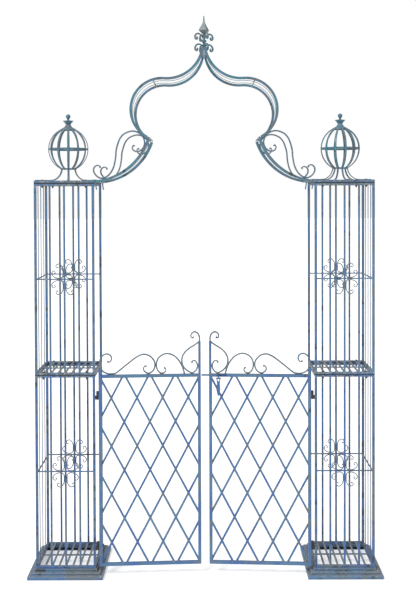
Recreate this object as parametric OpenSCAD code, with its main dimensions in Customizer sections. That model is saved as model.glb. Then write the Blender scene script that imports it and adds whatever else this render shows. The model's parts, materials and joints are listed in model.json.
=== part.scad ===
// Garden trellis arch: two square cage columns with plant shelves and globe tops,
// an ogee arch between them, and a pair of lattice gates with a sliding latch.
// Millimetres. The origin is on the ground, midway between the columns; the front is -Y.
// Column modules are drawn about the column's own axis, with +X away from the passage.
// Leaf modules are drawn about the hinge axis, with +X towards the free stile.

/* [Columns] */
// Distance from the middle of the passage to the middle of each column
column_x = 680; // [660:5:720]
// Side of the square cage, between the centres of its corner posts
cage_side = 280; // [272:2:290]
// Width of the square corner posts and ring rails
post_w = 12; // [11:1:13]
// Width of the flat upright bars and of the tray slats
bar_w = 10; // [8:1:11]
// Thickness of the flat upright bars
bar_t = 3; // [2:0.5:5]
// Width of the square bands round the middle of each cage
band_w = 6; // [5:1:8]
// Height of the lower cage
lower_h = 946; // [930:1:960]
// Height of the upper cage
upper_h = 932; // [920:1:950]
// Height of the stepped plinth
plinth_h = 42; // [38:1:44]
// Height of the lid frame on top of each column
cap_h = 14; // [12:1:16]
// Number of slats in each tray
slat_count = 7; // [5:1:9]

/* [Globes] */
// Radius of the globe at its waist, to the middle of a rib
globe_r = 97; // [92:1:102]
// Number of flat ribs in a globe
rib_count = 12; // [8:2:12]
// Turn of both globes, anticlockwise as seen from above
globe_turn = 8; // [-15:1:15]

/* [Arch] */
// Width of the square arch rails
arch_w = 12; // [10:1:14]
// Thickness of the two round rods between the rails
rod_d = 3; // [3:1:6]
// Radius of the quarter curve that rises from the column to the cusp
lower_r = 304; // [302:1:306]
// Radius of the bulge above the cusp
bulge_r = 151; // [150:1:152]
// Radius of the hollow curve that runs up to the apex
hollow_r = 176; // [175:1:177]

/* [Gates] */
// Angle at which both leaves stand ajar, away from the front
ajar = 3; // [0:0.5:4]
// Width of the square leaf frame
leaf_w = 15; // [14:1:15]
// Height of the leaf frame
leaf_h = 936; // [900:1:940]
// Sideways distance between lattice bars that lean the same way
lattice_pitch = 125; // [115:1:135]
// Height of one lattice diamond
lattice_rise = 236; // [220:2:250]
// Thickness of the round scroll rods
scroll_d = 8; // [6:1:8]

/* [Hidden] */
$fn = 48;

paint = "steelblue";
dark = "dimgray";
seam = 0.1;                       // hairline at a welded butt joint, so each bar stays its own solid

// Column levels
half = cage_side / 2;
shelf_z = plinth_h + lower_h;
top_z = shelf_z + upper_h;
cap_z = top_z + cap_h;
post_half = post_w / 2;
outer = half + post_half;         // outside face of the posts
inner = half - post_half;         // inside face of the posts
bar_pitch = cage_side / 4;
band_face = half - bar_t / 2;     // the bands lie against the inside of the bars

// Plinth steps: half-width and top of each riser, in sheet of this thickness
sheet = 2;
step_half = [outer + 37, outer + 22, outer + 5];
step_top = [17, 28, plinth_h];
flange_w = 16;

// Trays
slat_h = 4;
slat_pitch = 2 * inner / (slat_count + 1);

// Bolted joints
bolt_x = 105;
bolt_r = 3;
bolt_hole_r = 3.4;
nut_hole_r = 3.05;
hex_r = 5.8;
head_h = 4;
nut_h = 5;
tail_h = 5;

// Globe: each rib is one arc about a point just past the upright axis
globe_mid_z = cap_z + 158;
rib_rise = 97;                    // height of a rib's ends above and below the waist
rib_end_r = 37.5;
rib_offset = (globe_r * globe_r - rib_end_r * rib_end_r - rib_rise * rib_rise)
    / (2 * (globe_r - rib_end_r));
rib_r = globe_r - rib_offset;
rib_angle = asin(rib_rise / rib_r);
rib_w = 9;
rib_t = 4;
crown_h = 20;
globe_low_z = globe_mid_z - rib_rise;
globe_high_z = globe_mid_z + rib_rise;
leg_count = 6;
leg_w = 9;
leg_t = 4;

// Arch: centres and turns of the three curves of the right-hand side, in X and Z
lower_c = [558, top_z + 311];
bulge_c = [204, top_z + 356];
hollow_c = [180, top_z + 682];
lower_turn = [-161.5, -95.7];
bulge_turn = [-62, 94.2];
hollow_turn = [-168.5, -85.8];
cusp = [268, top_z + 221];
apex_z = top_z + 647;
plate_top_z = apex_z + 9;         // top of the plate that joins the rails and carries the finial
rung_w = 6;

// Gate leaf, measured from its hinge axis
post_gap = 10.5;                  // hinge axis to the post's face
hinge_x = column_x - outer - post_gap;
stile_x = 6;                      // hinge axis to the hinge stile's face
free_gap = 19.5;                  // passage middle to the free stile's face
leaf_l = hinge_x - free_gap;
leaf_z = 52;
leaf_top = leaf_z + leaf_h;
strip_w = 10;
strip_t = 4;
stile_up = 32;                    // hinge stile above the top rail
horn_w = 12;                      // bar that carries the free stile on above the top rail
horn_h = 159;

// Hinges
knuckle_r = 5.5;
knuckle_h = 18.5;
pin_r = 3;
pin_hole_r = 3.05;
hinge_levels = [132, 868];

// Latch: a round bolt that slides inside the right leaf's top rail
latch_z = leaf_top - leaf_w / 2;
latch_r = 4.5;
latch_hole_r = 4.6;
latch_tip_gap = 2;
latch_travel = 34;
latch_l = 190;
arm_x = leaf_l - 46.5;            // the bolt's arm, from the hinge axis
arm_w = 6;
handle_pin_r = 2;
handle_hole_r = 2.05;
handle_drop = 13;                 // bolt axis down to the handle's pin
handle_out = 14;                  // bolt axis forward to the handle's pin
handle_l = 86;

module box(a, b) {
    translate(a) cube(b - a);
}

// One shape on each column, mirrored so that its own +X faces away from the passage
module on_column(side) {
    translate([side * column_x, 0, 0]) mirror([side < 0 ? 1 : 0, 0, 0]) children();
}

// One shape on each leaf, turned to the angle at which it stands ajar
module on_leaf(side) {
    translate([side * hinge_x, -half, 0]) rotate([0, 0, -side * ajar])
        mirror([side > 0 ? 1 : 0, 0, 0]) children();
}

// One shape on each hinge axis, on the post's side: its own -X faces the post
module on_hinge(side) {
    translate([side * hinge_x, -half, 0]) mirror([side > 0 ? 1 : 0, 0, 0]) children();
}

// Smooth curve through hand-set points
function blend(a, b, c, d, t) =
    0.5 * (2 * b + (c - a) * t + (2 * a - 5 * b + 4 * c - d) * t * t + (3 * b - a - 3 * c + d) * t * t * t);
function smooth(p, n) = concat(
    [for (i = [0:len(p) - 2]) for (k = [0:n - 1])
        blend(p[max(i - 1, 0)], p[i], p[i + 1], p[min(i + 2, len(p) - 1)], k / n)],
    [p[len(p) - 1]]);

// Round rod bent along a curve in the XZ plane
module rod(path, d, sides = 6) {
    last = len(path) - 1;
    ring = [for (i = [0:last])
        let (along = path[min(i + 1, last)] - path[max(i - 1, 0)],
             across = [-along[1], along[0]] / norm(along))
        for (k = [0:sides - 1])
            let (a = 360 * (k + 0.5) / sides, out = across * d / 2 * cos(a))
            [path[i][0] + out[0], d / 2 * sin(a), path[i][1] + out[1]]];
    faces = concat(
        [[for (k = [0:sides - 1]) sides - 1 - k]],
        [[for (k = [0:sides - 1]) last * sides + k]],
        [for (i = [0:last - 1]) for (k = [0:sides - 1])
            let (a = i * sides + k, b = i * sides + (k + 1) % sides)
            [a, b, b + sides, a + sides]]);
    polyhedron(ring, faces);
}

// Bar bent along an arc in the XZ plane: from angle a to angle b about the centre c
module arc_bar(c, r, a, b) {
    translate([c[0], 0, c[1]]) rotate([90, 0, 0]) rotate([0, 0, a])
        rotate_extrude(angle = b - a, $fn = 96) translate([r, 0]) children();
}

// Square ring of four flat bars round the column's axis
module square_ring(out_half, w, z0, z1) {
    for (s = [-1, 1]) {
        translate([0, s * (out_half - w / 2), (z0 + z1) / 2]) cube([2 * out_half, w, z1 - z0], center = true);
        translate([s * (out_half - w / 2), 0, (z0 + z1) / 2])
            cube([w, 2 * (out_half - w - seam), z1 - z0], center = true);
    }
}

module plinth() {
    color(paint) {
        square_ring(step_half[0] - sheet - seam, flange_w, 0, sheet);
        for (i = [0:2]) {
            foot = i == 0 ? 0 : step_top[i - 1] + seam;
            tread_in = i == 2 ? inner : step_half[i + 1] - sheet;
            tread_out = step_half[i] - sheet - seam;
            square_ring(step_half[i], sheet, foot, step_top[i]);
            square_ring(tread_out, tread_out - tread_in, step_top[i] - sheet, step_top[i]);
        }
    }
}

// Slatted tray inside a cage module's bottom ring
module tray(z) {
    top = z + post_w;
    color(paint) {
        for (i = [1:slat_count])
            translate([-inner + i * slat_pitch, 0, top - slat_h / 2])
                cube([bar_w, 2 * (inner - seam), slat_h], center = true);
        translate([0, 0, top - slat_h - seam - bar_w / 4])
            cube([2 * (inner - seam), bar_w, bar_w / 2], center = true);
    }
}

// Front and rear rail of a ring, drilled for the joint bolts
module drilled_rail(z) {
    for (s = [-1, 1]) difference() {
        translate([0, s * half, z + post_half]) cube([2 * (inner - seam), post_w, post_w], center = true);
        for (x = [-bolt_x, bolt_x]) translate([x, s * half, z - 1]) cylinder(r = bolt_hole_r, h = post_w + 2);
    }
}

module side_rails(z) {
    for (s = [-1, 1])
        translate([s * half, 0, z + post_half]) cube([post_w, 2 * (inner - seam), post_w], center = true);
}

// Flat upright bar of a cage of height h, its width along the wall
module upright(x, y, z, h, x_size, y_size) {
    box([x - x_size / 2, y - y_size / 2, z + post_w + seam],
        [x + x_size / 2, y + y_size / 2, z + h - post_w - 2 * seam]);
}

module cage(z, h) {
    mid = z + h / 2;
    reach = band_face - band_w - 2 * seam;
    color(paint) {
        for (x = [-half, half]) for (y = [-half, half])
            box([x - post_half, y - post_half, z], [x + post_half, y + post_half, z + h - seam]);
        drilled_rail(z);
        side_rails(z);
        drilled_rail(z + h - post_w - seam);
        side_rails(z + h - post_w - seam);
        for (i = [-1:1]) {
            for (s = [-1, 1]) upright(i * bar_pitch, s * half, z, h, bar_w, bar_t);
            upright(half, i * bar_pitch, z, h, bar_t, bar_w);
        }
        for (s = [-1, 1])
            translate([0, s * (band_face - seam - band_w / 2), mid])
                cube([2 * (inner - seam), band_w, band_w], center = true);
        translate([band_face - seam - band_w / 2, 0, mid])
            cube([band_w, 2 * reach, band_w], center = true);
    }
}

rosette_d = 5;

// One of the four C scrolls of a rosette: it hugs the band and the middle bar, and both ends roll out
rosette_arm = [
    [31, 60], [37, 55], [42, 63], [35, 73], [23, 74], [13, 64], [8, 50], [7.4, 34], [8, 18],
    [13, 9], [25, 5.4], [42, 8], [55, 15], [61, 26], [58, 38], [49, 41], [44, 33], [50, 29]
];

module rosettes(mid) {
    color(paint) for (s = [-1, 1]) translate([0, s * half, mid])
        for (mx = [0, 1]) for (mz = [0, 1]) mirror([mx, 0, 0]) mirror([0, 0, mz])
            rod(rosette_arm, rosette_d, 5);
}

module cap_frame() {
    color(paint) {
        for (s = [-1, 1]) {
            difference() {
                translate([0, s * half, top_z + cap_h / 2]) cube([2 * outer, post_w, cap_h], center = true);
                for (x = [-bolt_x, bolt_x])
                    translate([x, s * half, top_z - 1]) cylinder(r = bolt_hole_r, h = cap_h + 2);
            }
            translate([s * half, 0, top_z + cap_h / 2])
                cube([post_w, 2 * (inner - seam), cap_h], center = true);
        }
    }
}

// The four bolts at each joint: the rail above rests on the rail below
bolt_joints = [[shelf_z - post_w, shelf_z + post_w], [top_z - post_w, cap_z]];

module joint_bolts() {
    color(dark) for (j = bolt_joints) for (x = [-bolt_x, bolt_x]) for (s = [-1, 1])
        translate([x, s * half, 0]) {
            translate([0, 0, j[1]]) cylinder(r = hex_r, h = head_h, $fn = 6);
            translate([0, 0, j[0] - nut_h - tail_h]) cylinder(r = bolt_r, h = j[1] - j[0] + nut_h + tail_h);
        }
}

module joint_nuts() {
    color(dark) for (j = bolt_joints) for (x = [-bolt_x, bolt_x]) for (s = [-1, 1])
        translate([x, s * half, j[0] - nut_h - seam]) difference() {
            cylinder(r = hex_r, h = nut_h, $fn = 6);
            translate([0, 0, -1]) cylinder(r = nut_hole_r, h = nut_h + 2);
        }
}

// Legs that flare from the globe's collar to the lid frame
module globe_legs(turn) {
    foot_r = 100;
    run = foot_r - rib_end_r;
    rise = globe_low_z - cap_z - leg_t / 2;
    // the flare is an arc from the collar to the foot that ends level on the lid
    flare_r = (run * run + rise * rise) / (2 * rise);
    flare_a = asin(run / flare_r);
    color(paint) for (i = [0:leg_count - 1]) {
        a = turn + (i + 0.5) * 360 / leg_count;
        reach = half / max(abs(cos(a)), abs(sin(a)));
        rotate([0, 0, a]) {
            arc_bar([foot_r, cap_z + leg_t / 2 + flare_r], flare_r, -90 - flare_a, -90)
                translate([-leg_t / 2, -leg_w / 2]) square([leg_t, leg_w]);
            box([foot_r, -leg_w / 2, cap_z], [reach + post_half - 1, leg_w / 2, cap_z + leg_t]);
        }
    }
}

module globe_ribs(turn) {
    color(paint) for (i = [0:rib_count - 1]) rotate([0, 0, turn + i * 360 / rib_count])
        arc_bar([rib_offset, globe_mid_z], rib_r, -rib_angle, rib_angle)
            translate([-rib_t / 2, -rib_w / 2]) square([rib_t, rib_w]);
}

module ring_band(out_r, in_r, z0, z1) {
    translate([0, 0, z0]) difference() {
        cylinder(r = out_r, h = z1 - z0);
        translate([0, 0, -1]) cylinder(r = in_r, h = z1 - z0 + 2);
    }
}

module globe_rings() {
    waist_r = globe_r - rib_t / 2 - seam;
    color(paint) {
        ring_band(waist_r, waist_r - rib_t, globe_mid_z - rib_w / 2, globe_mid_z + rib_w / 2);
        ring_band(rib_end_r + 2.5, rib_end_r - 3.5, globe_low_z - 5, globe_low_z + 2);
        ring_band(rib_end_r + 1, rib_end_r - 3.5, globe_high_z - 3, globe_high_z);
    }
}

// Bell-shaped sheet crown over the top of the ribs
module globe_crown() {
    z = globe_high_z + seam;
    color(paint) translate([0, 0, z]) rotate_extrude() polygon([
        [39, 0], [38, 3], [32, 6.5], [25, 10], [19, 14], [15, crown_h], [0, crown_h],
        [0, crown_h - sheet], [13, crown_h - sheet], [17, 12.5], [23, 8], [30, 4.5], [36, 1.5], [37, 0]
    ]);
}

// Turned finial: collar, flared cup, neck and ball
module globe_finial() {
    z = globe_high_z + crown_h + 2 * seam;
    ball_r = 11.6;
    ball_z = 46;
    color(paint) translate([0, 0, z]) {
        rotate_extrude() polygon([
            [0, 0], [15, 0], [12, 4], [13, 8], [18, 15], [25, 22],
            [26, 25], [17, 26], [6, 28], [5, 38], [0, 38]
        ]);
        translate([0, 0, ball_z]) sphere(r = ball_r);
    }
}

// One side's front and rear rails
module arch_rails() {
    color(paint) for (s = [-1, 1]) translate([0, s * half, 0]) {
        arc_bar(lower_c, lower_r, lower_turn[0], lower_turn[1]) square(arch_w, center = true);
        arc_bar(bulge_c, bulge_r, bulge_turn[0], bulge_turn[1]) square(arch_w, center = true);
        arc_bar(hollow_c, hollow_r, hollow_turn[0], hollow_turn[1]) square(arch_w, center = true);
    }
}

module arch_rods() {
    color(paint) for (s = [-1, 1]) translate([0, s * half / 3, 0]) {
        arc_bar(lower_c, lower_r, lower_turn[0], lower_turn[1] + 0.9) circle(d = rod_d);
        arc_bar(bulge_c, bulge_r, bulge_turn[0], bulge_turn[1]) circle(d = rod_d);
        arc_bar(hollow_c, hollow_r, hollow_turn[0], hollow_turn[1]) circle(d = rod_d);
    }
}

// Front-to-back bar of square section, centred on a point of the arch and turned with it
module rung(x, z, w, l, turn = 0) {
    translate([x, 0, z]) rotate([0, turn, 0]) cube([w, l, w], center = true);
}

// Rung between the rails that the rods of one curve lie on, at an angle on that curve
module rung_on(c, r, a, side, turn) {
    rung(side * (c[0] + r * cos(a)), c[1] + r * sin(a), rung_w, 2 * (half - arch_w / 2 - seam), side * turn);
}

module arch_rungs() {
    crown_a = 73.5;
    foot_a = -99;
    cusp_turn = -25;
    plate = [30, 2 * half + arch_w, 10];
    beside = (rung_w + rod_d) / 2;
    color(paint) {
        for (s = [-1, 1]) {
            rung(s * cusp[0], cusp[1], rung_w, 2 * half + arch_w, s * cusp_turn);
            rung_on(bulge_c, bulge_r - beside, crown_a, s, 90 - crown_a);
            rung_on(lower_c, lower_r + beside, foot_a, s, 90 + foot_a);
        }
        translate([0, 0, plate_top_z - plate[2] / 2]) cube(plate, center = true);
    }
}

// Straps that lie on the lid frame and hook down over its passage side
module arch_hooks() {
    face = column_x - outer;
    strap_t = 4;
    color(paint) for (s = [-1, 1]) translate([0, s * half, 0]) {
        box([face - 14, -post_half, cap_z + seam], [face + 9, post_half, cap_z + strap_t]);
        translate([0, -post_half, 0]) mirror([0, -1, 0]) rotate([90, 0, 0]) linear_extrude(post_w) polygon([
            [face - 0.5, cap_z - 8], [face - 6, cap_z + strap_t], [face - 10, cap_z + strap_t],
            [face - 10, cap_z - 14], [face - 12, cap_z - 32], [face - 15, cap_z - 44],
            [face - 10, cap_z - 46], [face - 7, cap_z - 33], [face - 5, cap_z - 14]
        ]);
    }
}

// Long S scroll that runs from the lid frame up into the notch of the cusp
side_scroll = [
    [506, 74], [505, 81], [512, 86], [523, 85], [533, 76], [536, 63], [532, 49], [520, 34], [503, 25],
    [487, 26], [470, 34], [456, 47], [445, 64], [436, 87], [429, 123], [426, 159], [418, 190], [408, 215],
    [393, 234], [377, 244], [360, 250], [345, 252], [329, 249], [314, 242], [301, 231], [292, 215],
    [288, 197], [291, 180], [300, 165], [312, 156], [325, 153], [338, 156], [346, 164], [348, 174],
    [343, 181], [336, 179]
];

module side_scrolls() {
    path = [for (p = side_scroll) [p[0], p[1] + top_z]];
    color(paint) for (s = [-1, 1]) translate([0, s * half, 0]) rod(path, scroll_d);
}

// Finial on the apex: stem with a collar, two tiers of rolled leaves, and a spear
stem_z = plate_top_z + seam;
stem_h = 84;
leaf_turn = 25;
leaf_d = 7;

module apex_stem() {
    color(paint) translate([0, 0, stem_z]) rotate_extrude() polygon([
        [0, 0], [14, 0], [12, 6], [7, 14], [5, 30], [6, 44], [13, 50],
        [13, 57], [6, 62], [5, 76], [6, stem_h], [0, stem_h]
    ]);
}

low_leaf = [[4, 23], [14, 33], [28, 37], [42, 31], [50, 17], [46, 5], [38, 7]];
high_leaf = [[4, 66], [14, 80], [28, 89], [42, 86], [50, 74], [47, 62], [39, 62]];

module apex_scrolls() {
    color(paint) for (i = [0:3]) rotate([0, 0, leaf_turn + i * 90]) translate([0, 0, stem_z])
        for (leaf = [low_leaf, high_leaf]) rod(smooth(leaf, 2), leaf_d);
}

module apex_spear() {
    z = stem_z + stem_h + seam;
    levels = [[0, 3], [22, 30], [31, 25], [46, 15], [59, 8], [66, 5], [95, 3]];
    color(paint) translate([0, 0, z]) rotate([0, 0, leaf_turn]) for (i = [0:len(levels) - 2])
        translate([0, 0, levels[i][0]])
            cylinder(r1 = levels[i][1], r2 = levels[i + 1][1], h = levels[i + 1][0] - levels[i][0], $fn = 4);
}

// Leaf frame; the latch leaf's top rail and free stile are bored for the bolt
module leaf_frame(latch_leaf) {
    free_x = leaf_l - leaf_w;
    w2 = leaf_w / 2;
    arm_slot = [arm_x - latch_travel - arm_w / 2 - 1.5, arm_x + arm_w / 2 + 1.5];
    color(paint) {
        box([stile_x, -w2, leaf_z], [stile_x + leaf_w, w2, leaf_top + stile_up]);
        box([stile_x + leaf_w + seam, -w2, leaf_z], [free_x - seam, w2, leaf_z + leaf_w]);
        difference() {
            box([stile_x + leaf_w + seam, -w2, leaf_top - leaf_w], [free_x - seam, w2, leaf_top]);
            if (latch_leaf) {
                translate([leaf_l - latch_l - latch_travel - 14, 0, latch_z])
                    rotate([0, 90, 0]) cylinder(r = latch_hole_r, h = latch_l + latch_travel);
                box([arm_slot[0], -w2 - 1, latch_z - 4], [arm_slot[1], 0, latch_z + 4]);
            }
        }
        difference() {
            box([free_x, -w2, leaf_z], [leaf_l, w2, leaf_top]);
            translate([free_x + (latch_leaf ? -1 : 3), 0, latch_z])
                rotate([0, 90, 0]) cylinder(r = latch_leaf ? latch_hole_r : latch_r + 1, h = leaf_w + 2);
        }
        box([leaf_l - horn_w, -horn_w / 2, leaf_top + seam], [leaf_l, horn_w / 2, leaf_top + horn_h]);
    }
}

// One lattice strip through a point of the leaf's middle row, cut to the frame's opening
module strip(x, lean, front) {
    mid_x = (stile_x + leaf_l) / 2;
    low = leaf_z + leaf_w + seam;
    high = leaf_top - leaf_w - seam;
    y = front ? -strip_t : 0;
    intersection() {
        translate([mid_x + x, y + (front ? -seam : seam), (low + high) / 2])
            rotate([0, lean * atan2(lattice_pitch, lattice_rise), 0])
                translate([-strip_w / 2, 0, -leaf_h]) cube([strip_w, strip_t, 2 * leaf_h]);
        box([stile_x + leaf_w + seam, -leaf_w, low], [leaf_l - leaf_w - seam, leaf_w, high]);
    }
}

module lattice(front_lean) {
    color(paint) for (i = [-3:3]) {
        strip(i * lattice_pitch, front_lean, true);
        strip(i * lattice_pitch, -front_lean, false);
    }
}

// Scroll paths: distance from the hinge axis, and height above the top rail
hinge_scroll = [
    [48, 66], [59, 61], [69, 75], [65, 93], [45, 102], [24, 91], [13, 68], [15, 39], [28, 17], [54, 5],
    [84, 6], [102, 16], [129, 38], [156, 59], [179, 77], [202, 91], [226, 98], [254, 90], [276, 66],
    [280, 41], [270, 16], [248, 5], [230, 14], [224, 28], [232, 40], [240, 38]
];
middle_scroll = [
    [324, 32], [333, 24], [329, 10], [309, 5], [291, 24], [288, 54], [302, 84], [336, 100], [372, 90],
    [398, 64], [415, 32], [424, 2]
];
free_scroll = [
    [494, 155], [470, 138], [448, 125], [424, 102], [412, 74], [416, 42], [436, 17], [462, 5], [482, 18],
    [488, 40], [480, 60], [466, 64], [460, 53]
];
horn_curl = [[498, 158], [498, 178], [491, 196], [475, 205], [461, 198], [456, 184], [463, 175], [470, 181]];

module leaf_scrolls() {
    color(paint) translate([0, 0, leaf_top]) {
        rod(smooth(hinge_scroll, 2), scroll_d);
        rod(smooth(middle_scroll, 2), scroll_d);
        rod(smooth(free_scroll, 2), scroll_d);
        rod(smooth(horn_curl, 2), scroll_d);
    }
}

// Lower half of each hinge, welded to the post
module post_knuckles() {
    color(dark) for (z = hinge_levels) difference() {
        union() {
            translate([0, 0, z]) cylinder(r = knuckle_r, h = knuckle_h);
            box([-post_gap + seam, -3, z], [-knuckle_r + 1, 3, z + knuckle_h]);
        }
        translate([0, 0, z - 1]) cylinder(r = pin_hole_r, h = knuckle_h + 2);
    }
}

// Upper half of each hinge, welded to the hinge stile
module leaf_knuckles() {
    color(dark) for (z = hinge_levels) difference() {
        union() {
            translate([0, 0, z + knuckle_h + 0.3]) cylinder(r = knuckle_r, h = knuckle_h);
            box([knuckle_r - 1, -3, z + knuckle_h + 0.3], [stile_x - seam / 2, 3, z + 2 * knuckle_h + 0.3]);
        }
        translate([0, 0, z + knuckle_h - 1]) cylinder(r = pin_hole_r, h = knuckle_h + 3);
    }
}

module hinge_pins() {
    color(dark) for (z = hinge_levels) {
        translate([0, 0, z - 2]) cylinder(r = pin_r, h = 2 * knuckle_h + 3);
        translate([0, 0, z + 2 * knuckle_h + 1]) cylinder(r = knuckle_r, h = 3);
    }
}

// Round bolt with an arm that comes out of the rail's front slot and down to the handle's pin
module latch_bolt() {
    tip = leaf_l + 2 * free_gap - latch_tip_gap;
    color(paint) difference() {
        union() {
            translate([tip - latch_l, 0, latch_z]) rotate([0, 90, 0]) cylinder(r = latch_r, h = latch_l);
            box([arm_x - arm_w / 2, -handle_out - 3, latch_z - 3], [arm_x + arm_w / 2, 0, latch_z + 3]);
            box([arm_x - arm_w / 2, -handle_out - 3, latch_z - handle_drop - 4],
                [arm_x + arm_w / 2, -handle_out + 3, latch_z]);
        }
        translate([arm_x - arm_w, -handle_out, latch_z - handle_drop])
            rotate([0, 90, 0]) cylinder(r = handle_hole_r, h = 2 * arm_w);
    }
}

module latch_pin() {
    l = 22;
    color(dark) translate([arm_x - l / 2, -handle_out, latch_z - handle_drop]) rotate([0, 90, 0]) {
        cylinder(r = handle_pin_r, h = l);
        translate([0, 0, -1.5]) cylinder(r = 3.5, h = 1.5);
        translate([0, 0, l]) cylinder(r = 3.5, h = 1.5);
    }
}

// Forked drop handle: two prongs on the pin, and a leaf-shaped grip with an eye
module latch_handle() {
    prong_in = arm_w / 2 + 1;
    prong_out = 10;
    grip_t = 4;
    eye_z = -56;
    eye_r = 4;
    edge = [[9, -16], [7, -26], [9, -40], [10, eye_z], [8, -70], [3, -handle_l]];
    color(paint) translate([arm_x, -handle_out, latch_z - handle_drop]) difference() {
        union() {
            for (s = [-1, 1]) translate([s * (prong_in + prong_out) / 2, 0, 0])
                rotate([0, 90, 0]) cylinder(r = 4, h = prong_out - prong_in, center = true);
            translate([0, grip_t / 2, 0]) rotate([90, 0, 0]) linear_extrude(grip_t) polygon(concat(
                [[-prong_out, 0], [-prong_in, 0], [-prong_in, -12], [0, -16], [prong_in, -12]],
                [[prong_in, 0], [prong_out, 0]],
                edge,
                [for (i = [len(edge) - 1:-1:0]) [-edge[i][0], edge[i][1]]]
            ));
        }
        translate([0, grip_t, eye_z]) rotate([90, 0, 0]) cylinder(r = eye_r, h = 2 * grip_t);
        translate([-prong_out - 1, 0, 0]) rotate([0, 90, 0])
            cylinder(r = handle_hole_r, h = 2 * prong_out + 2);
    }
}

// Drawing: each node on its own, or the whole arch
on_column(-1) plinth();  // plinth_left
on_column(1) plinth();  // plinth_right
on_column(-1) tray(plinth_h);  // base_tray_left
on_column(1) tray(plinth_h);  // base_tray_right
on_column(-1) cage(plinth_h, lower_h);  // lower_cage_left
on_column(1) cage(plinth_h, lower_h);  // lower_cage_right
on_column(-1) rosettes(plinth_h + lower_h / 2);  // lower_rosettes_left
on_column(1) rosettes(plinth_h + lower_h / 2);  // lower_rosettes_right
on_column(-1) tray(shelf_z);  // shelf_tray_left
on_column(1) tray(shelf_z);  // shelf_tray_right
on_column(-1) cage(shelf_z, upper_h);  // upper_cage_left
on_column(1) cage(shelf_z, upper_h);  // upper_cage_right
on_column(-1) rosettes(shelf_z + upper_h / 2);  // upper_rosettes_left
on_column(1) rosettes(shelf_z + upper_h / 2);  // upper_rosettes_right
on_column(-1) cap_frame();  // cap_frame_left
on_column(1) cap_frame();  // cap_frame_right
on_column(-1) joint_bolts();  // joint_bolts_left
on_column(1) joint_bolts();  // joint_bolts_right
on_column(-1) joint_nuts();  // joint_nuts_left
on_column(1) joint_nuts();  // joint_nuts_right
on_column(-1) globe_legs(-globe_turn);  // globe_legs_left
on_column(1) globe_legs(globe_turn);  // globe_legs_right
on_column(-1) globe_ribs(-globe_turn);  // globe_ribs_left
on_column(1) globe_ribs(globe_turn);  // globe_ribs_right
on_column(-1) globe_rings();  // globe_rings_left
on_column(1) globe_rings();  // globe_rings_right
on_column(-1) globe_crown();  // globe_crown_left
on_column(1) globe_crown();  // globe_crown_right
on_column(-1) globe_finial();  // globe_finial_left
on_column(1) globe_finial();  // globe_finial_right
mirror([1, 0, 0]) arch_rails();  // arch_rails_left
arch_rails();  // arch_rails_right
mirror([1, 0, 0]) arch_rods();  // arch_rods_left
arch_rods();  // arch_rods_right
mirror([1, 0, 0]) arch_hooks();  // arch_hooks_left
arch_hooks();  // arch_hooks_right
mirror([1, 0, 0]) side_scrolls();  // side_scrolls_left
side_scrolls();  // side_scrolls_right
arch_rungs();
apex_stem();
apex_scrolls();
apex_spear();
on_leaf(-1) leaf_frame(false);  // leaf_frame_left
on_leaf(1) leaf_frame(true);  // leaf_frame_right
on_leaf(-1) lattice(-1);  // lattice_left
on_leaf(1) lattice(1);  // lattice_right
on_leaf(-1) leaf_scrolls();  // leaf_scrolls_left
on_leaf(1) leaf_scrolls();  // leaf_scrolls_right
on_leaf(-1) leaf_knuckles();  // leaf_knuckles_left
on_leaf(1) leaf_knuckles();  // leaf_knuckles_right
on_hinge(-1) post_knuckles();  // post_knuckles_left
on_hinge(1) post_knuckles();  // post_knuckles_right
on_hinge(-1) hinge_pins();  // hinge_pins_left
on_hinge(1) hinge_pins();  // hinge_pins_right
on_leaf(1) latch_bolt();
on_leaf(1) latch_pin();
on_leaf(1) latch_handle();
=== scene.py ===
import json
import math
import random

import bmesh
import bpy
from mathutils import Matrix, Vector


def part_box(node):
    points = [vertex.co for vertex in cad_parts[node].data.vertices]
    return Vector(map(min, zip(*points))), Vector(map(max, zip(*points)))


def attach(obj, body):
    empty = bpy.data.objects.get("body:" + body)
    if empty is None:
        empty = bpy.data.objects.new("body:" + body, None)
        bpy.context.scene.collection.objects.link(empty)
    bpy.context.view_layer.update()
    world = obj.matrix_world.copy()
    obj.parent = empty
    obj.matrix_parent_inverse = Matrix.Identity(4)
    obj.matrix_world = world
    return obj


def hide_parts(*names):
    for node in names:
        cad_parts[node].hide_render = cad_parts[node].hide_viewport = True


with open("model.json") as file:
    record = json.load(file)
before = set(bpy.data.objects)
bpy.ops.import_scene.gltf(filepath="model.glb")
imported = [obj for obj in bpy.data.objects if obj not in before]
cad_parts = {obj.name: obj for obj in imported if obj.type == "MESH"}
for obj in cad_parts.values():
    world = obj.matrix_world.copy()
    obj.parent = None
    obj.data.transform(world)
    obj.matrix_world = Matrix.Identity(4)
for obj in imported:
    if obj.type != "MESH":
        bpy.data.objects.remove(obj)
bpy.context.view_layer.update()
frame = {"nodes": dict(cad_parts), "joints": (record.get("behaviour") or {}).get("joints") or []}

# The looks of a garden trellis arch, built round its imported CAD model. Metres, +Z up, the front is -Y.

MM = 0.001
SIDES = {"left": -1, "right": 1}
RANDOM = random.Random(11)

JOINTS = {j["name"]: j for j in frame["joints"]}
HINGE = Vector(JOINTS["right_gate"]["pos_m"])
AJAR = math.atan2(JOINTS["latch_bolt_slide"]["axis"][1], -JOINTS["latch_bolt_slide"]["axis"][0])


def middle(node):
    low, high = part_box(node)
    return (low + high) / 2


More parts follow.
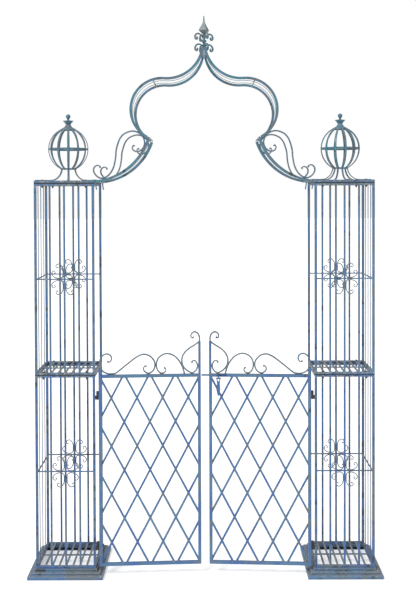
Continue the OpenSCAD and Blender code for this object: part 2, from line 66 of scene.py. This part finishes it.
# Places that the CAD gives
COLUMN_X = middle("upper_cage_right").x
SHELF_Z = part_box("upper_cage_right")[0].z
TOP_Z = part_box("cap_frame_right")[0].z
CAGE_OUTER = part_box("upper_cage_right")[1].y
POST_W = 12 * MM
BAR_W, BAR_T = 10 * MM, 3 * MM
BAND_W = 6 * MM
HALF = CAGE_OUTER - POST_W / 2
LEAF_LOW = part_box("leaf_frame_right")[0].z
LEAF_L = 504 * MM
LEAF_W = 15 * MM
LEAF_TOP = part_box("lattice_right")[1].z + LEAF_W
STILE_X = 6 * MM
STEM_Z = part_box("apex_stem")[0].z


# ---------------------------------------------------------------- places

def on_column(side):
    """Column modules: +X points away from the passage."""
    return Matrix.Translation((side * COLUMN_X, 0, 0)) @ Matrix.Diagonal((side, 1, 1, 1))


def on_leaf(side):
    """Leaf modules: +X points from the hinge axis to the free stile."""
    place = Matrix.Translation((side * HINGE.x, HINGE.y, 0))
    return place @ Matrix.Rotation(-side * AJAR, 4, "Z") @ Matrix.Diagonal((-side, 1, 1, 1))


def in_xz(points, y=0.0, base=0.0):
    """Points given in millimetres, across and up, as points in metres."""
    return [Vector((x * MM, y, z * MM + base)) for x, z in points]


# ---------------------------------------------------------------- meshes

def through(points, steps):
    """Smooth curve through points."""
    path = []
    last = len(points) - 1
    for i in range(last):
        a, b, c, d = (points[max(i - 1, 0)], points[i], points[i + 1], points[min(i + 2, last)])
        for k in range(steps):
            t = k / steps
            path.append(0.5 * (2 * b + (c - a) * t + (2 * a - 5 * b + 4 * c - d) * t ** 2
                               + (3 * b - a - 3 * c + d) * t ** 3))
    return path + [points[last]]


def sweep(bm, path, radii, sides=12):
    """Closed round tube along a path, with a radius at each point and domed ends."""
    ahead = (path[1] - path[0]).normalized()
    across = ahead.orthogonal().normalized()
    rings = []
    for i, point in enumerate(path):
        turned = (path[min(i + 1, len(path) - 1)] - path[max(i - 1, 0)]).normalized()
        across = (ahead.rotation_difference(turned) @ across).normalized()
        ahead = turned
        up = ahead.cross(across)
        spin = [math.tau * k / sides for k in range(sides)]
        rings.append([bm.verts.new(point + (across * math.cos(a) + up * math.sin(a)) * radii[i])
                      for a in spin])
    for low, high in zip(rings, rings[1:]):
        for k in range(sides):
            n = (k + 1) % sides
            bm.faces.new((low[k], low[n], high[n], high[k]))
    for ring, point, beyond, r in ((rings[0], path[0], path[0] - path[1], radii[0]),
                                   (rings[-1], path[-1], path[-1] - path[-2], radii[-1])):
        tip = bm.verts.new(point + beyond.normalized() * r * 0.6)
        for k in range(sides):
            n = (k + 1) % sides
            corner = (ring[n], ring[k], tip) if ring is rings[0] else (ring[k], ring[n], tip)
            bm.faces.new(corner)


def forged(path, r, free_start, free_end, lump=0.035):
    """Radii of a hand-forged rod: drawn thinner towards each free end, which is left as a blunt knob."""
    run = [0.0]
    for a, b in zip(path, path[1:]):
        run.append(run[-1] + (b - a).length)
    radii = []
    for s in run:
        scale = 1 + lump * math.sin(s * 190 + 3 * math.sin(s * 71))
        for free, d in ((free_start, s), (free_end, run[-1] - s)):
            if free:
                drawn = 0.68 + 0.32 * min(1, d / (11 * r))
                knob = 1.25 * math.sqrt(max(0, 1 - ((d - 1.2 * r) / (1.5 * r)) ** 2))
                scale *= max(drawn, knob)
        radii.append(r * scale)
    return radii


def weld(bm, place, half_w, half_d, bead=1.7 * MM):
    """Lumpy bead of weld round the foot of a rectangular bar: place's XY plane is the joint."""
    around, tube = 20, 6
    rings = []
    for i in range(around):
        a = math.tau * i / around
        c, s = math.cos(a), math.sin(a)
        reach = (abs(c) ** 5 + abs(s) ** 5) ** (-1 / 5)
        fat = bead * RANDOM.uniform(0.75, 1.25)
        ring = []
        for k in range(tube):
            b = math.tau * k / tube
            out = fat * 0.7 * math.cos(b)
            spot = Vector((c * reach * (half_w + out), s * reach * (half_d + out), fat * math.sin(b)))
            ring.append(bm.verts.new(place @ spot))
        rings.append(ring)
    for i in range(around):
        low, high = rings[i], rings[(i + 1) % around]
        for k in range(tube):
            n = (k + 1) % tube
            bm.faces.new((low[k], high[k], high[n], low[n]))


def make(name, bm, body, material, stands_for=(), smooth=True):
    """Turns a bmesh into a piece that rides on a body."""
    bmesh.ops.recalc_face_normals(bm, faces=bm.faces)
    mesh = bpy.data.meshes.new(name)
    bm.to_mesh(mesh)
    bm.free()
    mesh.polygons.foreach_set("use_smooth", [smooth] * len(mesh.polygons))
    mesh.materials.append(material)
    piece = bpy.data.objects.new(name, mesh)
    bpy.context.scene.collection.objects.link(piece)
    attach(piece, body)
    if stands_for:
        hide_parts(*stands_for)
    return piece


# ---------------------------------------------------------------- materials

class Nodes:
    """Short ways to add shader nodes to one material."""

    def __init__(self, name):
        self.material = bpy.data.materials.new(name)
        self.material.use_nodes = True
        self.tree = self.material.node_tree
        self.tree.nodes.clear()

    def add(self, kind, **values):
        node = self.tree.nodes.new("ShaderNode" + kind)
        for key, value in values.items():
            setattr(node, key, value)
        return node

    def feed(self, socket, value):
        if isinstance(value, bpy.types.NodeSocket):
            self.tree.links.new(value, socket)
        else:
            socket.default_value = value

    def math(self, operation, a, b=0.0, clamp=False):
        node = self.add("Math", operation=operation, use_clamp=clamp)
        self.feed(node.inputs[0], a)
        self.feed(node.inputs[1], b)
        return node.outputs[0]

    def noise(self, where, scale, detail=4.0, roughness=0.55):
        node = self.add("TexNoise")
        self.feed(node.inputs["Vector"], where)
        for key, value in (("Scale", scale), ("Detail", detail), ("Roughness", roughness)):
            self.feed(node.inputs[key], value)
        return node.outputs["Fac"]

    def step(self, value, low, high):
        """0 below low, 1 above high, smooth between."""
        node = self.add("MapRange", interpolation_type="SMOOTHSTEP")
        self.feed(node.inputs["Value"], value)
        self.feed(node.inputs["From Min"], low)
        self.feed(node.inputs["From Max"], high)
        return node.outputs["Result"]

    def mix(self, factor, a, b):
        node = self.add("Mix", data_type="RGBA")
        self.feed(node.inputs[0], factor)
        self.feed(node.inputs[6], a)
        self.feed(node.inputs[7], b)
        return node.outputs[2]

    def bump(self, height, distance, strength, normal=None):
        node = self.add("Bump")
        self.feed(node.inputs["Height"], height)
        self.feed(node.inputs["Distance"], distance)
        self.feed(node.inputs["Strength"], strength)
        if normal is not None:
            self.feed(node.inputs["Normal"], normal)
        return node.outputs["Normal"]


COBALT = (0.040, 0.110, 0.280, 1)
INDIGO = (0.020, 0.060, 0.150, 1)
STEEL_BLUE = (0.065, 0.150, 0.265, 1)
TEAL = (0.050, 0.165, 0.210, 1)
SLATE = (0.090, 0.130, 0.165, 1)
PEWTER = (0.140, 0.170, 0.180, 1)
CREAM = (0.480, 0.430, 0.350, 1)
# Bare dark steel, and also the near-black tone of the painted shade in corners
BARE_AND_SHADE = (0.022, 0.029, 0.042, 1)
# Grey of the dust on upward faces, which is also painted top light
DUST_AND_TOP_LIGHT = (0.300, 0.310, 0.310, 1)
RUST = (0.170, 0.080, 0.035, 1)
IRON = (0.030, 0.030, 0.032, 1)


def worn_paint(name, tones, seed, wear=0.5, dark=0.5, rust=0.5, top_dust_and_light=0.3, edge_w=2.5 * MM, levels=()):
    """Distressed paint: three tones in drifts, bare dark drifts, undercoat on edges and in chips, rust, and
    painted shade in the corners from ambient occlusion. wear, dark, rust and the top dust are from 0 to 1;
    the top dust lies on upward faces as real dust and painted top light together; edge_w is the width of a
    worn edge;
    levels are the heights of ring joints, where a dark line of grime lies."""
    n = Nodes(name)
    place = n.add("TexCoord").outputs["Object"]
    spot = n.add("Mapping")
    n.feed(spot.inputs["Vector"], place)
    spot.inputs["Location"].default_value = (seed * 1.7, seed * 2.3, seed * 0.9)
    where = spot.outputs["Vector"]

    drift = n.noise(where, 7, 3)
    patch = n.noise(where, 24, 5, 0.6)
    chip = n.noise(where, 95, 6, 0.7)
    grain = n.noise(where, 420, 3, 0.6)

    colour = n.mix(n.step(drift, 0.40, 0.60), tones[0], tones[1])
    colour = n.mix(n.step(patch, 0.50, 0.66), colour, tones[2])

    bare = n.step(n.noise(where, 13, 5, 0.65), 0.66 - 0.12 * dark, 0.74 - 0.10 * dark)

    edge_normal = n.add("Bevel", samples=4)
    edge_normal.inputs["Radius"].default_value = edge_w
    flat = n.add("VectorMath", operation="DOT_PRODUCT")
    n.feed(flat.inputs[0], edge_normal.outputs["Normal"])
    n.feed(flat.inputs[1], n.add("NewGeometry").outputs["Normal"])
    edge = n.step(n.math("SUBTRACT", 1.0, flat.outputs["Value"]), 0.02, 0.16)

    lost = n.math("MULTIPLY", n.step(chip, 0.70 - 0.14 * wear, 0.78 - 0.12 * wear), 0.8)
    rubbed = n.math("MULTIPLY", edge, n.step(patch, 0.56 - 0.20 * wear, 0.66 - 0.16 * wear))
    undercoat = n.math("MAXIMUM", lost, n.math("MULTIPLY", rubbed, 0.85))

    # Painted shade: the colour is darkened towards the near-black tone where ambient occlusion finds
    # corners and gaps between parts.
    nook = n.add("AmbientOcclusion", samples=4)
    nook.inputs["Distance"].default_value = 14 * MM
    painted_corner_shade = n.math("SUBTRACT", 1.0, n.step(nook.outputs["AO"], 0.35, 0.80))
    line = 0.0
    if levels:
        height = n.add("SeparateXYZ")
        n.feed(height.inputs[0], place)
        near = None
        for level in levels:
            away = n.math("ABSOLUTE", n.math("SUBTRACT", height.outputs["Z"], level))
            near = away if near is None else n.math("MINIMUM", near, away)
        worked = n.math("MULTIPLY", n.math("SUBTRACT", 1.0, n.step(near, 14 * MM, 34 * MM)),
                        n.step(chip, 0.52, 0.62))
        undercoat = n.math("MAXIMUM", undercoat, n.math("MULTIPLY", worked, 0.5))
        line = n.math("SUBTRACT", 1.0, n.step(near, 2.2 * MM, 4 * MM))

    rusty = n.step(n.noise(where, 58, 5, 0.65), 0.70 - 0.10 * rust, 0.78 - 0.10 * rust)
    colour = n.mix(n.math("MULTIPLY", bare, 0.85), colour, BARE_AND_SHADE)
    # Dust on upward faces lightens them to grey: real dust and painted top light together.
    up = n.add("SeparateXYZ")
    n.feed(up.inputs[0], n.add("NewGeometry").outputs["Normal"])
    dust_and_top_light = n.math("MULTIPLY", n.step(up.outputs["Z"], 0.5, 0.9), n.step(chip, 0.30, 0.55))
    colour = n.mix(n.math("MULTIPLY", dust_and_top_light, top_dust_and_light), colour, DUST_AND_TOP_LIGHT)
    colour = n.mix(undercoat, colour, CREAM)
    colour = n.mix(n.math("MULTIPLY", rusty, 0.8), colour, RUST)
    # Painted shade in the corners and the dark line at ring joints, both in the near-black tone.
    colour = n.mix(n.math("MAXIMUM", n.math("MULTIPLY", painted_corner_shade, 0.75), line), colour, BARE_AND_SHADE)
    shade = n.add("HueSaturation")
    n.feed(shade.inputs["Color"], colour)
    n.feed(shade.inputs["Value"], n.math("ADD", 0.80, n.math("MULTIPLY", grain, 0.40)))

    lack = n.math("MAXIMUM", n.math("MAXIMUM", undercoat, rusty), bare)
    shader = n.add("BsdfPrincipled")
    n.feed(shader.inputs["Base Color"], shade.outputs["Color"])
    n.feed(shader.inputs["Roughness"], n.math("ADD", 0.42, n.math("MULTIPLY", lack, 0.32)))
    shader.inputs["Specular IOR Level"].default_value = 0.4
    film = n.bump(lack, -0.25 * MM, 0.5)
    n.feed(shader.inputs["Normal"], n.bump(grain, 0.12 * MM, 0.35, film))
    n.feed(n.add("OutputMaterial").inputs["Surface"], shader.outputs["BSDF"])
    return n.material


def oxidised_steel(name, seed):
    """Near-black steel with brown bloom."""
    n = Nodes(name)
    spot = n.add("Mapping")
    n.feed(spot.inputs["Vector"], n.add("TexCoord").outputs["Object"])
    spot.inputs["Location"].default_value = (seed, seed * 0.6, seed * 1.4)
    where = spot.outputs["Vector"]
    bloom = n.step(n.noise(where, 120, 6, 0.65), 0.50, 0.70)
    grain = n.noise(where, 700, 3)
    shader = n.add("BsdfPrincipled")
    n.feed(shader.inputs["Base Color"], n.mix(n.math("MULTIPLY", bloom, 0.7), IRON, RUST))
    n.feed(shader.inputs["Roughness"], n.math("ADD", 0.45, n.math("MULTIPLY", bloom, 0.35)))
    shader.inputs["Metallic"].default_value = 0.5
    n.feed(shader.inputs["Normal"], n.bump(grain, 0.1 * MM, 0.4))
    n.feed(n.add("OutputMaterial").inputs["Surface"], shader.outputs["BSDF"])
    return n.material


RING_JOINTS = (SHELF_Z, TOP_Z)
PAINTS = {
    "cage": worn_paint("cage_paint", (STEEL_BLUE, SLATE, COBALT), 1, wear=0.6, dark=0.9, rust=0.6,
                       levels=RING_JOINTS),
    "low_cage": worn_paint("low_cage_paint", (COBALT, SLATE, INDIGO), 2, wear=0.5, dark=1.0, rust=0.6,
                           levels=RING_JOINTS),
    "leaf": worn_paint("leaf_paint", (COBALT, STEEL_BLUE, SLATE), 4, wear=0.45, dark=0.25, rust=0.3,
                       top_dust_and_light=0.2),
    "arch": worn_paint("arch_paint", (TEAL, SLATE, STEEL_BLUE), 7, wear=0.4, dark=0.9, rust=0.6),
    "scroll": worn_paint("scroll_paint", (PEWTER, SLATE, STEEL_BLUE), 9, wear=0.4, dark=0.3, rust=0.3),
    "globe": worn_paint("globe_paint", (SLATE, TEAL, STEEL_BLUE), 12, wear=0.6, dark=0.3, rust=0.3),
    "apex": worn_paint("apex_paint", (TEAL, PEWTER, SLATE), 15, wear=0.7, dark=0.1, rust=0.2),
    "plinth": worn_paint("plinth_paint", (STEEL_BLUE, SLATE, COBALT), 18, wear=0.7, dark=0.9, rust=0.7,
                         top_dust_and_light=0.6, edge_w=4 * MM),
    "tray": worn_paint("tray_paint", (STEEL_BLUE, SLATE, PEWTER), 20, wear=0.7, dark=0.1, rust=0.4,
                       top_dust_and_light=0.6),
    "weld": worn_paint("weld_paint", (SLATE, CREAM, PEWTER), 21, wear=0.9, dark=0.6, rust=0.9),
    "steel": oxidised_steel("hinge_steel", 24),
}

# How each kind of CAD node is finished: its paint, and how far its edges are rounded
KINDS = {
    "plinth": ("plinth", 0.6), "base_tray": ("tray", 0.7), "shelf_tray": ("tray", 0.7),
    "lower_cage": ("low_cage", 1.2), "upper_cage": ("cage", 1.2), "cap_frame": ("cage", 1.5),
    "lower_rosettes": ("scroll", 0), "upper_rosettes": ("scroll", 0),
    "joint_bolts": ("steel", 0.4), "joint_nuts": ("steel", 0.4),
    "globe_legs": ("globe", 0.9), "globe_ribs": ("globe", 0.9), "globe_rings": ("globe", 0.7),
    "globe_crown": ("globe", 0), "globe_finial": ("globe", 0),
    "arch_rails": ("arch", 1.4), "arch_rods": ("arch", 0), "arch_rungs": ("arch", 0.8),
    "arch_hooks": ("arch", 0.8), "side_scrolls": ("scroll", 0),
    "apex_stem": ("apex", 0), "apex_scrolls": ("apex", 0), "apex_spear": ("apex", 0.9),
    "leaf_frame": ("leaf", 1.5), "lattice": ("leaf", 0.8), "leaf_scrolls": ("scroll", 0),
    "post_knuckles": ("steel", 0.5), "leaf_knuckles": ("steel", 0.5), "hinge_pins": ("steel", 0.5),
    "latch_bolt": ("leaf", 0.4), "latch_pin": ("steel", 0.3), "latch_handle": ("leaf", 0.8),
}


def kind_of(node):
    for tail in ("_left", "_right"):
        if node.endswith(tail):
            return node[:-len(tail)]
    return node


def shading_group():
    """Geometry nodes that join a mesh's split corners and shade it smooth except over sharp edges."""
    group = bpy.data.node_groups.new("even_shading", "GeometryNodeTree")
    group.interface.new_socket("Geometry", in_out="INPUT", socket_type="NodeSocketGeometry")
    group.interface.new_socket("Geometry", in_out="OUTPUT", socket_type="NodeSocketGeometry")
    add, link = group.nodes.new, group.links.new
    source, result = add("NodeGroupInput"), add("NodeGroupOutput")
    merge = add("GeometryNodeMergeByDistance")
    merge.inputs["Distance"].default_value = 0.004 * MM
    faces, edges = add("GeometryNodeSetShadeSmooth"), add("GeometryNodeSetShadeSmooth")
    edges.domain = "EDGE"
    edges.inputs["Shade Smooth"].default_value = False
    angle, sharp = add("GeometryNodeInputMeshEdgeAngle"), add("FunctionNodeCompare")
    sharp.operation = "GREATER_THAN"
    sharp.inputs["B"].default_value = math.radians(35)
    link(source.outputs[0], merge.inputs["Geometry"])
    link(merge.outputs["Geometry"], faces.inputs["Geometry"])
    link(faces.outputs["Geometry"], edges.inputs["Geometry"])
    link(angle.outputs["Unsigned Angle"], sharp.inputs["A"])
    link(sharp.outputs["Result"], edges.inputs["Selection"])
    link(edges.outputs["Geometry"], result.inputs[0])
    return group


def finish_cad_nodes():
    """Paints every CAD node and rounds its edges with modifiers, which leave its own mesh alone."""
    group = shading_group()
    for name, node in frame["nodes"].items():
        paint, rounding = KINDS[kind_of(name)]
        node.data.materials.clear()
        node.data.materials.append(PAINTS[paint])
        node.modifiers.new("even_shading", "NODES").node_group = group
        if rounding:
            flat = node.modifiers.new("flat_faces", "DECIMATE")
            flat.decimate_type = "DISSOLVE"
            flat.angle_limit = math.radians(0.5)
            soft = node.modifiers.new("soft_edges", "BEVEL")
            soft.width = rounding * MM
            soft.segments = 2
            soft.limit_method = "ANGLE"
            soft.angle_limit = math.radians(40)
            soft.use_clamp_overlap = False
            soft.harden_normals = True


# ---------------------------------------------------------------- scrolls

HINGE_SCROLL = ((48, 66), (59, 61), (69, 75), (65, 93), (45, 102), (24, 91), (13, 68), (15, 39), (28, 17),
                (54, 5), (84, 6), (102, 16), (129, 38), (156, 59), (179, 77), (202, 91), (226, 98),
                (254, 90), (276, 66), (280, 41), (270, 16), (248, 5), (230, 14), (224, 28), (232, 40),
                (240, 38))
MIDDLE_SCROLL = ((324, 32), (333, 24), (329, 10), (309, 5), (291, 24), (288, 54), (302, 84), (336, 100),
                 (372, 90), (398, 64), (415, 32), (424, 2))
FREE_SCROLL = ((494, 155), (470, 138), (448, 125), (424, 102), (412, 74), (416, 42), (436, 17), (462, 5),
               (482, 18), (488, 40), (480, 60), (466, 64), (460, 53))
HORN_CURL = ((498, 158), (498, 178), (491, 196), (475, 205), (461, 198), (456, 184), (463, 175), (470, 181))
SIDE_SCROLL = ((506, 74), (505, 81), (512, 86), (523, 85), (533, 76), (536, 63), (532, 49), (520, 34),
               (503, 25), (487, 26), (470, 34), (456, 47), (445, 64), (436, 87), (429, 123), (426, 159),
               (418, 190), (408, 215), (393, 234), (377, 244), (360, 250), (345, 252), (329, 249),
               (314, 242), (301, 231), (292, 215), (288, 197), (291, 180), (300, 165), (312, 156),
               (325, 153), (338, 156), (346, 164), (348, 174), (343, 181), (336, 179))
ROSETTE_ARM = ((31, 60), (37, 55), (42, 63), (35, 73), (23, 74), (13, 64), (8, 50), (7.4, 34), (8, 18),
               (13, 9), (25, 5.4), (42, 8), (55, 15), (61, 26), (58, 38), (49, 41), (44, 33), (50, 29))
LOW_LEAF = ((4, 23), (14, 33), (28, 37), (42, 31), (49, 17), (45, 6), (37, 6), (35, 13), (39, 16))
HIGH_LEAF = ((4, 66), (14, 80), (28, 89), (42, 86), (49, 74), (46, 63), (38, 62), (36, 69), (40, 72))
SCROLL_R = 4 * MM
ROSETTE_R = 2.5 * MM


def leaf_scrolls(side_name):
    place = on_leaf(SIDES[side_name])
    bm = bmesh.new()
    for points, free in ((HINGE_SCROLL, (True, True)), (MIDDLE_SCROLL, (True, False)),
                         (FREE_SCROLL, (False, True)), (HORN_CURL, (False, True))):
        path = [place @ p for p in through(in_xz(points, base=LEAF_TOP), 6)]
        sweep(bm, path, forged(path, SCROLL_R, *free))
    make(f"forged_leaf_scrolls_{side_name}", bm, f"{side_name}_leaf", PAINTS["scroll"],
         (f"leaf_scrolls_{side_name}",))


def side_scrolls(side_name):
    bm = bmesh.new()
    for y in (-HALF, HALF):
        points = in_xz(SIDE_SCROLL, y, TOP_Z)
        path = through([Vector((SIDES[side_name] * p.x, p.y, p.z)) for p in points], 5)
        sweep(bm, path, forged(path, SCROLL_R, True, True))
    make(f"forged_side_scrolls_{side_name}", bm, "columns_and_arch", PAINTS["scroll"],
         (f"side_scrolls_{side_name}",))


def rosettes(level, side_name):
    node = f"{level}_rosettes_{side_name}"
    centre = middle(node)
    bm = bmesh.new()
    for y in (-HALF, HALF):
        for mirror_x in (-1, 1):
            for mirror_z in (-1, 1):
                points = [(mirror_x * x, mirror_z * z) for x, z in ROSETTE_ARM]
                path = [p + Vector((centre.x, 0, 0)) for p in through(in_xz(points, y, centre.z), 5)]
                sweep(bm, path, forged(path, ROSETTE_R, True, True), 10)
    make(f"forged_{node}", bm, "columns_and_arch", PAINTS["scroll"], (node,))


def apex_leaves():
    """Two tiers of four forged leaves: each is thin at the root, broad over the shoulder and rolls up."""
    bm = bmesh.new()
    for i in range(4):
        turn = Matrix.Rotation(math.radians(25 + 90 * i), 4, "Z")
        for points in (LOW_LEAF, HIGH_LEAF):
            path = [turn @ p for p in through(in_xz(points, base=STEM_Z), 6)]
            last = len(path) - 1
            along = [k / last for k in range(last + 1)]
            radii = [(3.0 + 1.1 * math.sin(math.pi * part) + 0.9 * part) * MM for part in along]
            sweep(bm, path, radii, 12)
    make("forged_apex_leaves", bm, "columns_and_arch", PAINTS["apex"], ("apex_scrolls",))


# ---------------------------------------------------------------- plinths

PLINTH_STEPS = ((183, 0), (183, 17), (168, 17), (168, 28), (151, 28), (151, 42), (134, 42))
SHEET = 2 * MM
FOLD_R = 2.2 * MM


def rounded(points, radius, steps=4):
    """The same open outline with each inner corner rounded."""
    path = [points[0]]
    for before, corner, after in zip(points, points[1:], points[2:]):
        start = corner + (before - corner).normalized() * radius
        end = corner + (after - corner).normalized() * radius
        for k in range(steps + 1):
            t = k / steps
            path.append(start * (1 - t) ** 2 + corner * 2 * t * (1 - t) + end * t ** 2)
    return path + [points[-1]]


def folded_plinth(side_name):
    """Stepped skirt of folded sheet, mitred at its four corners, with an inturned flange at the ground."""
    outside = [Vector((x * MM, z * MM)) for x, z in PLINTH_STEPS]
    inside = [Vector((x * MM - SHEET, max(z * MM - SHEET, 0))) for x, z in PLINTH_STEPS[:-1]]
    inside.append(Vector((outside[-1].x, outside[-1].y - SHEET)))
    flange = [Vector((inside[0].x - 16 * MM, 0)), Vector((inside[0].x - 16 * MM, SHEET)),
              Vector((inside[0].x, SHEET))]
    ring = rounded(outside, FOLD_R) + inside[:0:-1] + flange[::-1] + [outside[0]]
    ring = [p for i, p in enumerate(ring) if (p - ring[i - 1]).length > 0.01 * MM]
    place = on_column(SIDES[side_name])
    bm = bmesh.new()
    loops = []
    for cx, cy in ((-1, -1), (1, -1), (1, 1), (-1, 1)):
        loops.append([bm.verts.new(place @ Vector((cx * p.x, cy * p.x, p.y))) for p in ring])
    for i in range(4):
        low, high = loops[i], loops[(i + 1) % 4]
        for k in range(len(ring)):
            n = (k + 1) % len(ring)
            bm.faces.new((low[k], high[k], high[n], low[n]))
    piece = make(f"folded_plinth_{side_name}", bm, "columns_and_arch", PAINTS["plinth"],
                 (f"plinth_{side_name}",), smooth=False)
    soft = piece.modifiers.new("soft_edges", "BEVEL")
    soft.width = 0.7 * MM
    soft.segments = 2
    soft.limit_method = "ANGLE"
    soft.angle_limit = math.radians(40)


# ---------------------------------------------------------------- welds

def cage_welds(level, side_name):
    """Beads where a cage's bars and bands meet its rails and posts."""
    low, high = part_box(f"{level}_cage_{side_name}")
    place = on_column(SIDES[side_name])
    pitch = HALF / 2
    bm = bmesh.new()
    spots = [(i * pitch, s * HALF, BAR_W, BAR_T) for i in (-1, 0, 1) for s in (-1, 1)]
    spots += [(HALF, i * pitch, BAR_T, BAR_W) for i in (-1, 0, 1)]
    for x, y, x_size, y_size in spots:
        for z in (low.z + POST_W, high.z - POST_W):
            weld(bm, place @ Matrix.Translation((x, y, z)), x_size / 2, y_size / 2, 1.4 * MM)
    band = HALF - (BAR_T + BAND_W) / 2
    mid = (low.z + high.z) / 2
    turn = Matrix.Rotation(math.pi / 2, 4, "Y")
    for s in (-1, 1):
        for end in (-1, 1):
            spot = Matrix.Translation((end * (HALF - POST_W / 2), s * band, mid))
            weld(bm, place @ spot @ turn, BAND_W / 2, BAND_W / 2, 1.4 * MM)
    make(f"welds_{level}_cage_{side_name}", bm, "columns_and_arch", PAINTS["weld"])


def tray_welds(tray, side_name, slat_count=7):
    low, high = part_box(f"{tray}_{side_name}")
    inner = HALF - POST_W / 2
    turn = Matrix.Rotation(math.pi / 2, 4, "X")
    place = on_column(SIDES[side_name])
    bm = bmesh.new()
    for i in range(1, slat_count + 1):
        x = -inner + i * 2 * inner / (slat_count + 1)
        for end in (-1, 1):
            spot = Matrix.Translation((x, end * inner, high.z - 2 * MM))
            weld(bm, place @ spot @ turn, 5 * MM, 2 * MM, 1.3 * MM)
    make(f"welds_{tray}_{side_name}", bm, "columns_and_arch", PAINTS["weld"])


def lattice_welds(side_name, pitch=125 * MM, rise=236 * MM, strip_w=10 * MM):
    """Beads where each lattice strip ends on the leaf frame."""
    place = on_leaf(SIDES[side_name])
    left, right = STILE_X + LEAF_W, LEAF_L - LEAF_W
    bottom, top = LEAF_LOW + LEAF_W, LEAF_TOP - LEAF_W
    centre = Vector(((STILE_X + LEAF_L) / 2, (bottom + top) / 2))
    bm = bmesh.new()
    for i in range(-3, 4):
        for lean in (-1, 1):
            slope = lean * pitch / rise
            y = -2 * MM if lean == SIDES[side_name] else 2 * MM
            for edge_z in (bottom, top):
                x = centre.x + i * pitch + slope * (edge_z - centre.y)
                if left < x < right:
                    weld(bm, place @ Matrix.Translation((x, y, edge_z)), strip_w * 0.57, 2 * MM, 1.4 * MM)
            for edge_x in (left, right):
                z = centre.y + (edge_x - centre.x - i * pitch) / slope
                if bottom < z < top:
                    spot = Matrix.Translation((edge_x, y, z)) @ Matrix.Rotation(math.pi / 2, 4, "Y")
                    weld(bm, place @ spot, strip_w * 1.05, 2 * MM, 1.4 * MM)
    make(f"welds_lattice_{side_name}", bm, f"{side_name}_leaf", PAINTS["weld"])


# ---------------------------------------------------------------- stage

LENS = 51.15
SENSOR = 36
EYE = (14 * MM, -4279 * MM, 1870 * MM)
PITCH_DOWN = 1.0
ROLL = -0.18
SHIFT = (0.0013, -0.1537)


def set_camera():
    data = bpy.data.cameras.new("camera")
    data.lens = LENS
    data.sensor_width = SENSOR
    data.shift_x, data.shift_y = SHIFT
    camera = bpy.data.objects.new("camera", data)
    camera.matrix_world = (Matrix.Translation(EYE) @ Matrix.Rotation(math.radians(90 - PITCH_DOWN), 4, "X")
                           @ Matrix.Rotation(math.radians(ROLL), 4, "Z"))
    bpy.context.scene.collection.objects.link(camera)
    bpy.context.scene.camera = camera


# Studio light: what the camera sees behind the arch, what lights it from all round, and the floor's glow
BACKDROP, SOFTBOX, FLOOR_GLOW = 1.0, 0.37, 0.42
# Name, azimuth, elevation, strength, spread, with the angles in degrees
SUNS = (("key", -38, 46, 2.6, 20), ("fill", 55, 35, 0.4, 45))


def add_sun(name, azimuth, elevation, strength, spread):
    data = bpy.data.lights.new(name, "SUN")
    data.energy = strength
    data.angle = math.radians(spread)
    sun = bpy.data.objects.new(name, data)
    sun.rotation_euler = (math.radians(90 - elevation), 0, math.radians(azimuth))
    bpy.context.scene.collection.objects.link(sun)


def set_stage():
    bm = bmesh.new()
    bmesh.ops.create_circle(bm, cap_ends=True, segments=96, radius=60)
    mesh = bpy.data.meshes.new("floor")
    bm.to_mesh(mesh)
    bm.free()
    floor = bpy.data.objects.new("floor", mesh)
    floor.location.z = -0.2 * MM
    bpy.context.scene.collection.objects.link(floor)
    n = Nodes("pale_floor")
    shader = n.add("BsdfPrincipled")
    shader.inputs["Base Color"].default_value = (0.90, 0.90, 0.90, 1)
    shader.inputs["Roughness"].default_value = 0.9
    shader.inputs["Emission Color"].default_value = (1, 1, 1, 1)
    shader.inputs["Emission Strength"].default_value = FLOOR_GLOW
    n.feed(n.add("OutputMaterial").inputs["Surface"], shader.outputs["BSDF"])
    mesh.materials.append(n.material)

    world = bpy.data.worlds.new("studio")
    world.use_nodes = True
    nodes, link = world.node_tree.nodes, world.node_tree.links.new
    backdrop = nodes["Background"]
    backdrop.inputs["Strength"].default_value = BACKDROP
    softbox = nodes.new("ShaderNodeBackground")
    softbox.inputs["Strength"].default_value = SOFTBOX
    for background in (backdrop, softbox):
        background.inputs["Color"].default_value = (1, 1, 1, 1)
    seen = nodes.new("ShaderNodeMixShader")
    link(nodes.new("ShaderNodeLightPath").outputs["Is Camera Ray"], seen.inputs[0])
    link(softbox.outputs[0], seen.inputs[1])
    link(backdrop.outputs[0], seen.inputs[2])
    link(seen.outputs[0], nodes["World Output"].inputs["Surface"])
    bpy.context.scene.world = world
    bpy.context.scene.view_settings.view_transform = "Standard"
    for sun in SUNS:
        add_sun(*sun)


set_camera()
set_stage()
finish_cad_nodes()
for side_name in SIDES:
    leaf_scrolls(side_name)
    side_scrolls(side_name)
    folded_plinth(side_name)
    lattice_welds(side_name)
    for tray in ("base_tray", "shelf_tray"):
        tray_welds(tray, side_name)
    for level in ("lower", "upper"):
        rosettes(level, side_name)
        cage_welds(level, side_name)
apex_leaves()
